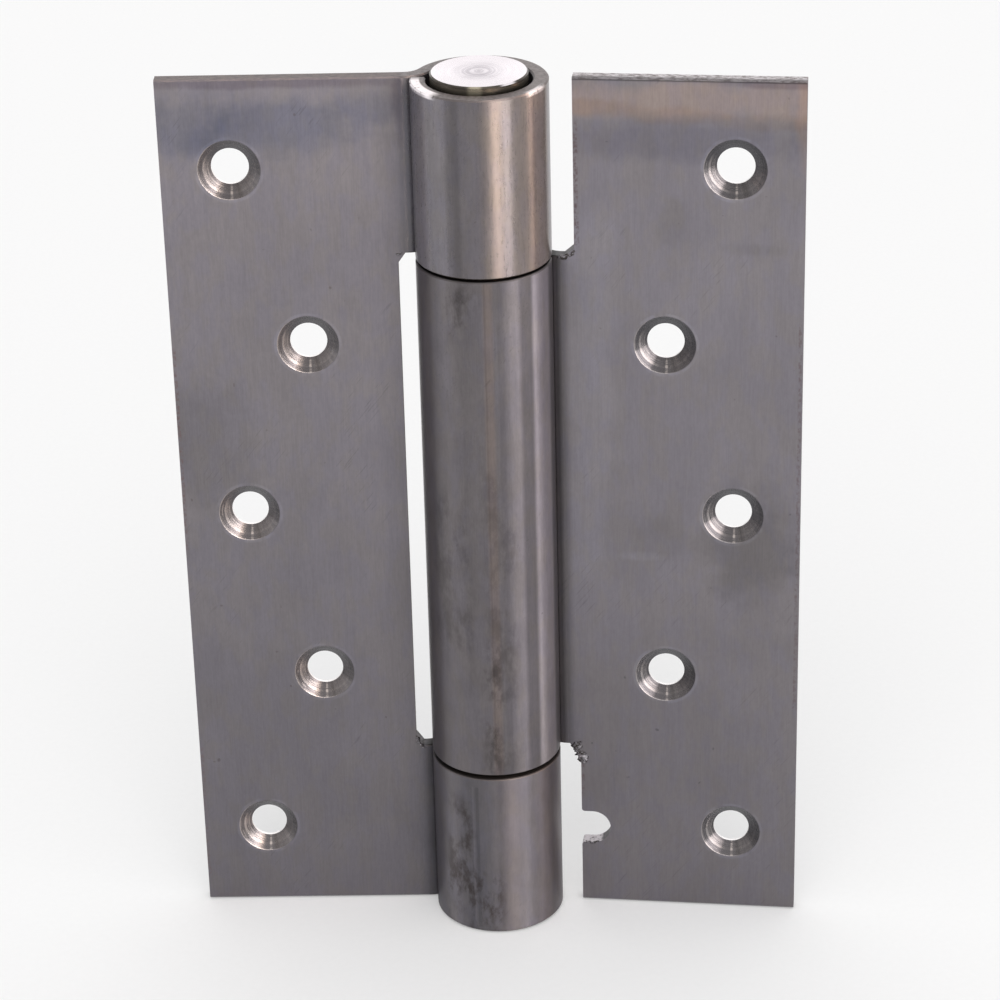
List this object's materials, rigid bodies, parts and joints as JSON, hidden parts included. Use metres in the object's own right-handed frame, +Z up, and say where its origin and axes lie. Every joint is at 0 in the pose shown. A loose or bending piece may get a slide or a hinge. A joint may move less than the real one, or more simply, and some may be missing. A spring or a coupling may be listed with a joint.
{
  "type": "spring hinge",
  "caption": "Self-closing butt hinge: two countersunk steel leaves rolled into a fat barrel that hides a torsion spring, its adjuster and a tension pin.",
  "frame": {"origin": "on the pin axis, at the height of the hinge's bottom edge", "axes": "+Z up the pin axis; -Y toward the countersunk front; fixed leaf along -X, sprung leaf along +X, 6.1 degrees short of flat open"},
  "size_m": [0.1029, 0.0236, 0.1531],
  "materials": {
    "fixed_leaf": "brushed lengthwise, satin stainless",
    "sprung_leaf": "brushed lengthwise, satin stainless",
    "top_plug": "turned face with fine concentric marks",
    "top_plug_pin": "plain hardened pin",
    "bottom_plug": "turned",
    "bottom_plug_pin": "plain hardened pin",
    "upper_thrust_washer": "bronze, dull",
    "lower_thrust_washer": "bronze, dull",
    "upper_bush": "sintered bronze",
    "lower_bush": "sintered bronze",
    "spring_anchor": "turned, oiled",
    "spring_anchor_pin": "plain hardened pin",
    "torsion_spring": "oil-tempered spring wire",
    "tension_adjuster": "turned, oiled",
    "tension_pin": "plain hardened pin"
  },
  "bodies": {
    "fixed_side": {"fixed_leaf": "fixed_leaf", "top_plug": "top_plug", "top_plug_pin": "top_plug_pin", "bottom_plug": "bottom_plug", "bottom_plug_pin": "bottom_plug_pin", "upper_thrust_washer": "upper_thrust_washer", "lower_thrust_washer": "lower_thrust_washer"},
    "sprung_side": {"sprung_leaf": "sprung_leaf", "upper_bush": "upper_bush", "lower_bush": "lower_bush", "spring_anchor": "spring_anchor", "spring_anchor_pin": "spring_anchor_pin", "torsion_spring": "torsion_spring"},
    "adjuster": {"tension_adjuster": "tension_adjuster", "tension_pin": "tension_pin"}
  },
  "joints": [
    {"name": "leaf_swing", "type": "hinge", "parent": "fixed_side", "child": "sprung_side", "pos_m": [0, 0, 0.0766], "axis": [0, 0, 1], "range_deg": [-173.9, 6.1], "stiffness_Nm_per_rad": 0.76, "deforming": ["torsion_spring"]},
    {"name": "adjuster_turn", "type": "hinge", "parent": "fixed_side", "child": "adjuster", "pos_m": [0, 0, 0.0148], "axis": [0, 0, 1], "range_deg": [-78, 0], "deforming": ["torsion_spring"]}
  ]
}
